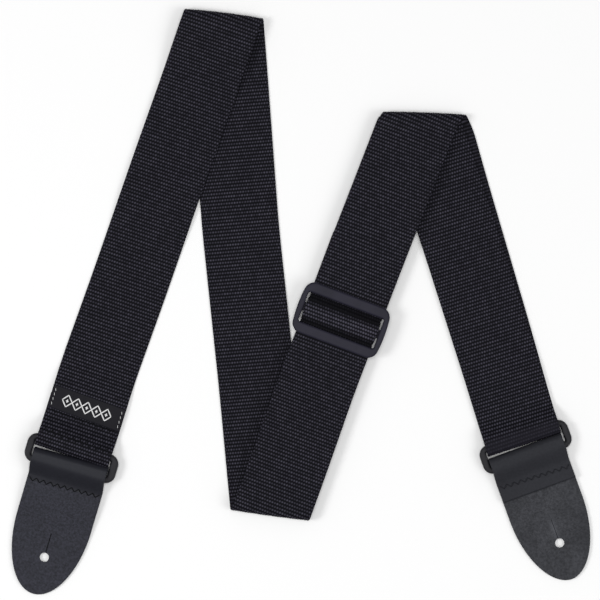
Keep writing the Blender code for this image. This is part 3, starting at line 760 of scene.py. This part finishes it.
def moulded_plate(name, outer, inner, bottom, top, rounding, material, steps=6):
    """A plate with one opening and rounded edges, its outlines given for an inset.

    The rounding is how far the edges are rounded inwards and how far up and down.
    """
    reach, rise = rounding
    flat = (top - bottom) / 2 - rise
    edge = [(reach * (1 - math.cos(angle)), side * flat + rise * math.sin(angle))
            for side, first, last in ((-1, -math.pi / 2, 0), (1, 0, math.pi / 2))
            for angle in np.linspace(first, last, steps + 1)]
    rows = [np.insert(outer(inset), 2, height, axis=1) for inset, height in edge]
    rows += [np.insert(inner(inset), 2, height, axis=1) for inset, height in reversed(edge)]
    count, columns = len(rows), len(rows[0])
    quads = grid_quads(count + 1, columns, True) % (count * columns)
    points = np.concatenate(rows) + (0, 0, (top + bottom) / 2)
    piece = build_mesh(name, points, quads, materials=[material])
    piece.data.set_sharp_from_angle(angle=SHARP)
    return piece


def make_ring(kit):
    """A ring, sitting on its bars with a little play along and across, and a little twist."""
    half = kit.ring_length / 2

    def outer(inset):
        return rounded_outline(half - inset, RING_WIDTH / 2 - inset, RING_OUTER_CORNER - inset)

    def inner(inset):
        opening = rounded_outline(half - kit.ring_end + inset,
                                  RING_WIDTH / 2 - RING_BAR + inset, RING_INNER_CORNER + inset)
        return np.array(opening) + (kit.opening_shift, 0)

    name = f"{kit.word}_ring"
    ring = moulded_plate(f"{name}_moulding", outer, inner, -RING_THICKNESS / 2,
                         RING_THICKNESS / 2, RING_ROUNDING, RING_PLASTIC)
    right, up = axes(kit.tilt)
    along, across = kit.ring_play
    set_down(ring, bar_of(kit) + right * along + up * (across - BAR_SPACING / 2),
             kit.tilt + kit.ring_twist)
    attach(ring, name)
    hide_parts(name)


def make_slider():
    def outer(inset):
        return rounded_outline(SLIDER_LENGTH / 2 - inset, SLIDER_WIDTH / 2 - inset,
                               SLIDER_CORNER - inset, SLIDER_SIDE_BOW)

    def inner(inset):
        # A bow too small to see, so that the opening has as many points as the outside
        return rounded_outline(OPENING_LENGTH / 2 + inset, OPENING_WIDTH / 2 + inset,
                               OPENING_CORNER + inset, 1e-9)

    body = moulded_plate("slider_moulding", outer, inner, OUTER_BAR_BOTTOM, OUTER_BAR_TOP,
                         SLIDER_ROUNDING, SLIDER_PLASTIC)
    rail_width = (SLIDER_LENGTH - OPENING_LENGTH) / 2 - 0.5 * MM
    rail_middle = OPENING_LENGTH / 2 + rail_width / 2
    others = []
    for side in (-1, 1):
        outline = rounded_outline(rail_width / 2, OPENING_WIDTH / 2, 1.2 * MM, steps=4)
        outline = [point + np.array((side * rail_middle, 0)) for point in outline]
        others.append(add_plate(f"rail_{side}", outline, CENTRE_BAR_BOTTOM,
                                OUTER_BAR_BOTTOM + 1.2 * MM))
    outline = rounded_outline(rail_middle, CENTRE_BAR_WIDTH / 2, 0.4 * MM, steps=2)
    others.append(add_plate("centre_bar", outline, CENTRE_BAR_BOTTOM, CENTRE_BAR_TOP))
    combined(body, others, "UNION")
    set_down(body, (*SLIDER_SEAT, 0), SLIDER_TURN)
    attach(body, "slider")
    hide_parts("slider_frame")
    make_slider_webbing()


def slider_place(along, across, lift):
    """Places points of the sewn loop round the centre bar, counted from the loop's corner."""
    hold = BAR_REACH + CENTRE_BAR_WIDTH / 2 + GAP
    loop = Bend(np.array((0, -BAR_REACH)), np.array((0, -1.0)), np.array((0, 1.0)),
                [(0, RETURN_LAYER)], [(hold, SECOND_LAYER), (hold + 12 * MM, TAIL_LAYER)])
    return to_slider(loop.place(along, across, lift))


def to_slider(points):
    """From the slider's own axes, +Y up the run, to the scene."""
    plan = SLIDER_SEAT + points[:, :1] * turned(SLIDER_TURN) + points[:, 1:2] * DIRECTION_3
    return np.column_stack((plan, points[:, 2]))


def make_slider_webbing():
    end = BAR_REACH + SLIDER_TAIL
    loop = ribbon("webbing_sewn_loop", -end, end, face_step=FLOAT / 2, back_step=FLOAT * 2,
                  place=slider_place, waists=(-BAR_REACH - WAIST, BAR_REACH + WAIST))
    finish_webbing(["webbing_slider_loop"])
    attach(loop, "slider")

    reach = 13.2 * MM
    crown = 1.9 * MM

    def over_bar(length, across, lift):
        along = length - SLIDER_AT
        hump = np.clip(1 - (np.abs(along) / (9.4 * MM)) ** 2.2, 0, 1) ** 1.1
        sink = -0.15 * MM + 0.5 * MM * np.clip((np.abs(along) - 10.6 * MM) / (2 * MM), 0, 1)
        height = TOP_LAYER - sink + crown * hump
        height = np.where(lift < 0, TOP_LAYER - 0.3 * MM, height + lift)
        return to_slider(np.column_stack((across, along, height)))

    # Painted shade darkens the hump next to the slider's outer bars, and a painted highlight
    # lightens its crest
    hump = ribbon("webbing_over_centre_bar", SLIDER_AT - reach, SLIDER_AT + reach,
                  back_step=FLOAT * 3, place=over_bar, waists=SLIDER_WAISTS,
                  shade=lambda length: 0.3 + 1.1 * np.exp(
                      -((length - SLIDER_AT + 1.2 * MM) / (5.2 * MM)) ** 4))
    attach(hump, "slider")


# ---------------- leather

def tab_heights(kit):
    """Heights of a tab's flap and main layer along it, and which way the loop goes round."""
    floor = LEATHER / 2 - BAR_HEIGHT
    second = floor + LEATHER + GAP
    upper = [(TAB_ROLL_FROM, TAB_ROLL_RADIUS), (kit.seam, second)]
    if not kit.flap_on_top:
        upper += [(kit.seam + 3.4 * MM, second), (TAB_FLAT_FROM, floor)]
    lower = [(BAR_CLEARANCE, -TAB_ROLL_RADIUS), (kit.seam, floor)]
    return (upper, lower, 1) if kit.flap_on_top else (lower, upper, -1)


def tab_rows(kit):
    """Rows of the leather's middle surface, from the flap's end round the bar to the tip.

    Each row is the plan distance of its edge, of its middle, its height and its half width.
    In the tip the rows fan out from the end of the middle line.
    """
    flap, main, side = tab_heights(kit)
    centre = TAB_ROLL_RADIUS + LEATHER / 2 - kit.loop_reach
    half = TAB_WIDTH / 2
    straight_end = TAB_LENGTH - TAB_TIP_LENGTH
    rows = []
    for along in np.linspace(TAB_FLAP_END, TAB_ROLL_FROM, FLAP_ROWS):
        rows.append((along, along, float(eased(flap, along)), half))
    for angle in np.linspace(0, math.pi, ROLL_ROWS + 2)[1:-1]:
        along = centre - TAB_ROLL_RADIUS * math.sin(angle)
        rows.append((along, along, side * TAB_ROLL_RADIUS * math.cos(angle), half))
    for along in np.linspace(TAB_ROLL_FROM, straight_end, MAIN_ROWS):
        rows.append((along, along, float(eased(main, along)), half))
    for angle in np.linspace(0, math.pi / 2, TIP_ROWS + 1)[1:]:
        edge = straight_end + TAB_TIP_LENGTH * math.sin(angle)
        middle = straight_end + 0.72 * TAB_TIP_LENGTH * math.sin(angle)
        rows.append((edge, middle, float(eased(main, edge)),
                     half * max(math.cos(angle), 0) ** kit.tip_taper))
    return np.array(rows)


def make_tab(kit):
    """A leather tab: grain side out, flesh side in, with its cut edge, hole and slit."""
    rows = tab_rows(kit)
    inset = np.concatenate(((0, 0.12, 0.3, 0.6), np.linspace(1.2, 25, 24))) * MM / (TAB_WIDTH / 2)
    shares = np.concatenate((inset - 1, (1 - inset)[:-1][::-1]))
    count, columns = len(rows), len(shares)
    edge, middle, height, half = (rows[:, i:i + 1] for i in range(4))
    in_loop = np.clip((8.5 * MM - middle) / (6 * MM), 0, 1)
    across = shares * half + kit.loop_shift * in_loop
    along = middle + (edge - middle) * np.abs(shares)
    tangent = np.gradient(np.column_stack((middle, height)), axis=0)
    tangent[1 - TIP_ROWS:] = (1, 0)
    tangent /= np.linalg.norm(tangent, axis=1)[:, None]
    outward = np.column_stack((-tangent[:, 1], tangent[:, 0])) * (-1 if kit.flap_on_top else 1)
    from_edge = np.minimum((1 - np.abs(shares)) * TAB_WIDTH / 2, TAB_ROUNDING)
    not_at_end = (np.arange(count) >= FLAP_END_ROWS)[:, None]
    from_end = np.where(not_at_end, TAB_ROUNDING, np.maximum(TAB_FLAP_END - edge, 0))
    inwards = TAB_ROUNDING - np.minimum(from_edge, from_end)
    thickness = LEATHER / 2 - TAB_ROUNDING + np.sqrt(TAB_ROUNDING ** 2 - inwards ** 2)
    askew = kit.loop_lean * across * np.clip(-middle / (7 * MM), 0, 1)
    sheets = []
    for offset in (thickness - stitch_dent(kit, along, across), -thickness):
        y = -(along + outward[:, :1] * offset) + askew
        z = height + outward[:, 1:] * offset + BAR_HEIGHT
        sheets.append(np.stack((across, y, z), -1).reshape(-1, 3))
    quads = grid_quads(count, columns)
    total = count * columns
    row = np.arange(count) * columns
    rim = walls(np.concatenate((row, row[::-1] + columns - 1, np.arange(columns - 2, 0, -1))),
                total)
    flip = 1 if kit.flap_on_top else -1
    faces = (quads[:, ::flip], (quads + total)[:, ::-flip], rim[:, ::-flip])
    piece = build_mesh(f"{kit.word}_tab_leather", np.concatenate(sheets), np.concatenate(faces),
                       materials=[FLAP_GRAIN if kit.flap_on_top else GRAIN_SIDE, FLESH_SIDE,
                                  CUT_EDGE, SHADED_BENT_GRAIN])
    # The bent band between the ring and the zigzag gets the darker leather, whose darker base is
    # painted shade
    bent = middle[:-1] < seam_at(kit, (across[:1, 1:] + across[:1, :-1]) / 2)
    slots = np.where(bent & (not kit.flap_on_top), BENT_SHADED, GRAIN).ravel()
    slots = np.concatenate((slots, np.full(len(quads), FLESH), np.full(len(rim), EDGE)))
    piece.data.polygons.foreach_set("material_index", slots.astype(np.int32))
    weld(piece.data)
    cut_button_hole(piece, kit.hole_shift, kit.slit_width)
    set_down(piece, *tab_seat(kit))
    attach(piece, f"{kit.word}_tab")
    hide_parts(f"{kit.word}_leather_tab")


def tab_seat(kit):
    """Where a tab sits on its ring's lower bar, and how it is turned."""
    right, up = axes(kit.tilt)
    place = bar_of(kit) - up * BAR_SPACING + right * kit.tab_shift
    return (place.x, place.y, 0), kit.tilt + kit.tab_skew


def seam_at(kit, across):
    """How far from the bar the middle of the zigzag runs."""
    return kit.seam + SEAM_TO_ZIGZAG + kit.seam_slant * across


def stitch_dent(kit, along, across):
    """The shallow furrow that the zigzag pulls into the upper layer of leather."""
    distance = (along - seam_at(kit, across)) / (1.5 * MM)
    dent = 0.3 * MM * np.exp(-distance ** 2) * (np.abs(across) < TAB_WIDTH / 2 - 1 * MM)
    is_main = (np.arange(len(along)) >= FLAP_ROWS + ROLL_ROWS)[:, None]
    return dent * (is_main != kit.flap_on_top)


def cut_button_hole(piece, offset, slit_width):
    """Punches the round hole and cuts the slit as two grooves, a thin floor between them."""
    hole_at = HOLE_FROM_TIP - TAB_LENGTH
    slit_at = hole_at + HOLE_DIAMETER / 4 + SLIT_LENGTH / 2
    punch = bmesh.new()
    bmesh.ops.create_cone(punch, cap_ends=True, segments=56, depth=CUT_DEPTH,
                          radius1=HOLE_DIAMETER / 2, radius2=HOLE_DIAMETER / 2)
    shapes = [("punch", punch, hole_at)]
    for name, side in (("back_knife", -1), ("front_knife", 1)):
        knife = bmesh.new()
        bmesh.ops.create_cube(knife, size=1)
        bmesh.ops.scale(knife, vec=(slit_width, SLIT_LENGTH, CUT_DEPTH), verts=knife.verts)
        height = side * (CUT_DEPTH + SLIT_FLOOR) / 2 + LEATHER / 2
        bmesh.ops.translate(knife, vec=(0, 0, height), verts=knife.verts)
        shapes.append((name, knife, slit_at))
    cutters = []
    for name, shape, y in shapes:
        mesh = bpy.data.meshes.new(name)
        shape.to_mesh(mesh)
        shape.free()
        for material in piece.data.materials:
            mesh.materials.append(material)
        mesh.polygons.foreach_set("material_index", np.full(len(mesh.polygons), EDGE, np.int32))
        cutters.append(add_object(name, mesh))
        cutters[-1].location = (offset, y, 0)
    combined(piece, cutters, "DIFFERENCE")


# ---------------- sewing and label

def tube(path, radius):
    """Points and quads of a round tube along a path, with its ends left open."""
    tangent = np.gradient(path, axis=0)
    tangent /= np.linalg.norm(tangent, axis=1)[:, None]
    side = np.cross(tangent, (0, 0, 1.0))
    side /= np.maximum(np.linalg.norm(side, axis=1), 1e-9)[:, None]
    up = np.cross(side, tangent)
    angle = np.linspace(0, 2 * math.pi, THREAD_SIDES, endpoint=False)[None, :, None]
    ring = np.cos(angle) * side[:, None, :] + np.sin(angle) * up[:, None, :]
    points = path[:, None, :] + radius[:, None, None] * ring
    return points.reshape(-1, 3), grid_quads(len(path), THREAD_SIDES, True)


def stitches(name, segments, radius, material, node, body):
    """Separate stitches, each a plump arc of thread between two needle holes."""
    points, quads, caps = [], [], []
    count = 0
    steps = np.linspace(0, 1, ARC_POINTS)[:, None]
    swell = 0.55 + 0.45 * np.sin(math.pi * np.linspace(0.05, 0.95, ARC_POINTS)) ** 0.5
    for start, end, arch in segments:
        path = np.asarray(start) * (1 - steps) + np.asarray(end) * steps
        path[:, 2] += arch * (np.sin(math.pi * steps[:, 0]) ** 0.6 - 0.6)
        ring, faces = tube(path, radius * swell)
        points.append(ring)
        quads.append(faces + count)
        caps.append(np.arange(THREAD_SIDES)[::-1] + count)
        count += len(ring)
        caps.append(np.arange(THREAD_SIDES) + count - THREAD_SIDES)
    piece = build_mesh(name, np.concatenate(points), np.concatenate(quads), caps,
                       materials=[material])
    if node:
        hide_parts(node)
    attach(piece, body)


def joined(spots, arch):
    """Stitches from each spot to the next."""
    return [(start, end, arch) for start, end in zip(spots, spots[1:])]


def zigzag_on_strip(name, length, depth, node, body="strap", place=on_strip):
    half = WIDTH / 2 - SEWING_MARGIN
    lengths = length + depth * np.where(np.arange(ZIGZAG_POINTS) % 2, 1, -1)
    spots = place(lengths, np.linspace(-half, half, ZIGZAG_POINTS),
                  np.full(ZIGZAG_POINTS, 0.62 * MM))
    stitches(name, joined(spots, 0.2 * MM), 0.24 * MM, BLACK_THREAD, node, body)


def tab_zigzag(kit):
    (x, y, _), tilt = tab_seat(kit)
    right, up = (np.array(direction) for direction in axes(tilt))
    half = TAB_WIDTH / 2 - SEWING_MARGIN
    flap, main, _ = tab_heights(kit)
    spots = []
    for number, part in enumerate(np.linspace(-half, half, ZIGZAG_POINTS)):
        along = seam_at(kit, part) + (1.2 * MM if number % 2 else -1.2 * MM)
        height = float(eased(flap if kit.flap_on_top else main, along)) + BAR_HEIGHT + LEATHER / 2
        spots.append(np.array((x, y, height)) + right * part - up * along)
    stitches(f"{kit.word}_tab_sewing", joined(spots, 0.16 * MM), 0.32 * MM,
             BLACK_THREAD if kit is LEFT else DUSTY_THREAD, f"{kit.word}_tab_stitches",
             f"{kit.word}_tab")


LABEL_AT = BAR_SPACING / 2 + 27.2 * MM
LABEL_HEIGHT = 15.4 * MM
LABEL_LIFT = 0.95 * MM
DASH_INSET = 1.9 * MM
DASH_PITCH = 3.1 * MM
BOTH_WAYS = np.array((-1, 1))


def on_label(across, along, lift):
    """Places a point of the label: across the webbing and along it, from the label's middle."""
    skew = 0.012 * across
    at_sewing = np.exp(-((np.abs(across) - 21.5 * MM) / (3 * MM)) ** 2)
    pucker = 0.07 * MM * np.sin(along / (1.5 * MM)) * at_sewing
    return on_strip(LABEL_AT + along + skew, across, LABEL_LIFT + pucker + lift)


def make_label():
    half = WIDTH / 2 - 0.3 * MM
    across = np.linspace(-half, half, 90)
    along = np.linspace(-LABEL_HEIGHT / 2, LABEL_HEIGHT / 2, 34)
    along_grid, across_grid = (a.ravel() for a in np.meshgrid(along, across, indexing="ij"))
    near_edge = np.minimum(half - np.abs(across_grid), LABEL_HEIGHT / 2 - np.abs(along_grid))
    drop = -0.28 * MM * np.exp(-near_edge / (0.5 * MM))
    top = on_label(across_grid, along_grid, drop)
    bottom = on_label(across_grid, along_grid, drop - 0.28 * MM)
    rows, columns = len(along), len(across)
    total = rows * columns
    quads = grid_quads(rows, columns)
    row = np.arange(rows) * columns
    boundary = np.concatenate((np.arange(columns), row[1:] + columns - 1,
                               np.arange(total - 2, total - columns - 1, -1), row[-2:0:-1]))
    uv = np.tile(np.column_stack((across_grid, along_grid)), (2, 1))
    piece = build_mesh("label_cloth", np.concatenate((top, bottom)),
                       np.concatenate((quads[:, ::-1], quads + total,
                                       walls(boundary, total))), uv=uv, materials=[LABEL])
    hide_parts("label")
    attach(piece, "strap")
    make_motif()
    for side, word in ((-1, "left"), (1, "right")):
        segments = []
        for number in range(4):
            x = side * (half - DASH_INSET)
            y = (number - 1.5) * DASH_PITCH
            spots = on_label(x + 0.25 * MM * BOTH_WAYS, y + 0.85 * MM * BOTH_WAYS, 0.1 * MM)
            segments += joined(spots, 0.1 * MM)
        stitches(f"label_{word}_sewing", segments, 0.14 * MM, WHITE_THREAD,
                 f"label_{word}_stitches", "strap")


def make_motif():
    """A plain embroidered border: a chain of outlined diamonds with a dot in each."""
    count = 5
    wide, tall = 6.7 * MM, 8 * MM
    number = np.arange(2 * count + 1)
    corner_x = (number - count) * wide / 2
    corner_y = number % 2 * tall / 2
    segments = []
    for side in (-1, 1):
        spots = on_label(corner_x, side * corner_y, 0.12 * MM)
        segments += joined(spots, 0.06 * MM)
    for number in range(count):
        x = (number + 0.5 - count / 2) * wide
        segments += joined(on_label(x + 0.9 * MM * BOTH_WAYS, 0.0, 0.15 * MM), 0.1 * MM)
        segments += joined(on_label(x, 1.1 * MM * BOTH_WAYS, 0.12 * MM), 0.1 * MM)
    stitches("label_motif", segments, 0.42 * MM, WHITE_THREAD, None, "strap")


# ---------------- floor, light and camera

def make_stage():
    white = Nodes("floor_white")
    white.set(Base_Color=(0.88, 0.88, 0.88, 1), Roughness=0.9)
    bpy.ops.mesh.primitive_plane_add(size=6, location=(0, 0, -0.00005))
    floor = bpy.context.object
    floor.name = "floor"
    floor.data.materials.append(white.material)


def make_lights():
    """Three soft lamps that look at the strap, and a dim white surrounding."""
    for name, place, size, power in (("left_light", (-1.9, -0.2, 1.9), 0.9, 26),
                                     ("right_light", (1.9, -0.7, 1.9), 1.6, 22),
                                     ("overhead_light", (0, 0.1, 3.4), 1.4, 46)):
        light = bpy.data.lights.new(name, "AREA")
        light.size = size
        light.energy = power
        lamp = add_object(name, light)
        lamp.location = place
        lamp.rotation_euler = (-Vector(place)).to_track_quat("-Z", "Y").to_euler()
    world = bpy.data.worlds.new("studio")
    bpy.context.scene.world = world
    world.use_nodes = True
    background = world.node_tree.nodes["Background"]
    background.inputs["Color"].default_value = (1, 1, 1, 1)
    background.inputs["Strength"].default_value = 0.32
    bpy.context.scene.view_settings.view_transform = "Standard"


def make_camera():
    """Straight above the strap, framing a little more than its box."""
    view_width = 390.6 * MM
    distance = 3.0
    camera = bpy.data.cameras.new("camera")
    camera.sensor_width = 36
    camera.lens = camera.sensor_width * distance / view_width
    camera.clip_start = 0.05
    camera.clip_end = 20
    eye = add_object("camera", camera)
    eye.location = (-0.24 * MM, 1.03 * MM, distance)
    bpy.context.scene.camera = eye


make_stage()
make_lights()
make_camera()
make_webbing()
make_slider()
make_ring(LEFT)
make_ring(RIGHT)
make_tab(LEFT)
make_tab(RIGHT)
make_label()
zigzag_on_strip("left_loop_sewing", BAR_SPACING / 2 + 5 * MM, 1.6 * MM, "left_loop_stitches")
zigzag_on_strip("label_edge_sewing", LABEL_AT - LABEL_HEIGHT / 2 - 1.2 * MM, 0.9 * MM,
                "label_edge_stitches")
zigzag_on_strip("slider_loop_sewing", BAR_REACH + SLIDER_TAIL - 12 * MM, 2 * MM,
                "slider_loop_stitches", "slider", slider_place)
tab_zigzag(LEFT)
tab_zigzag(RIGHT)
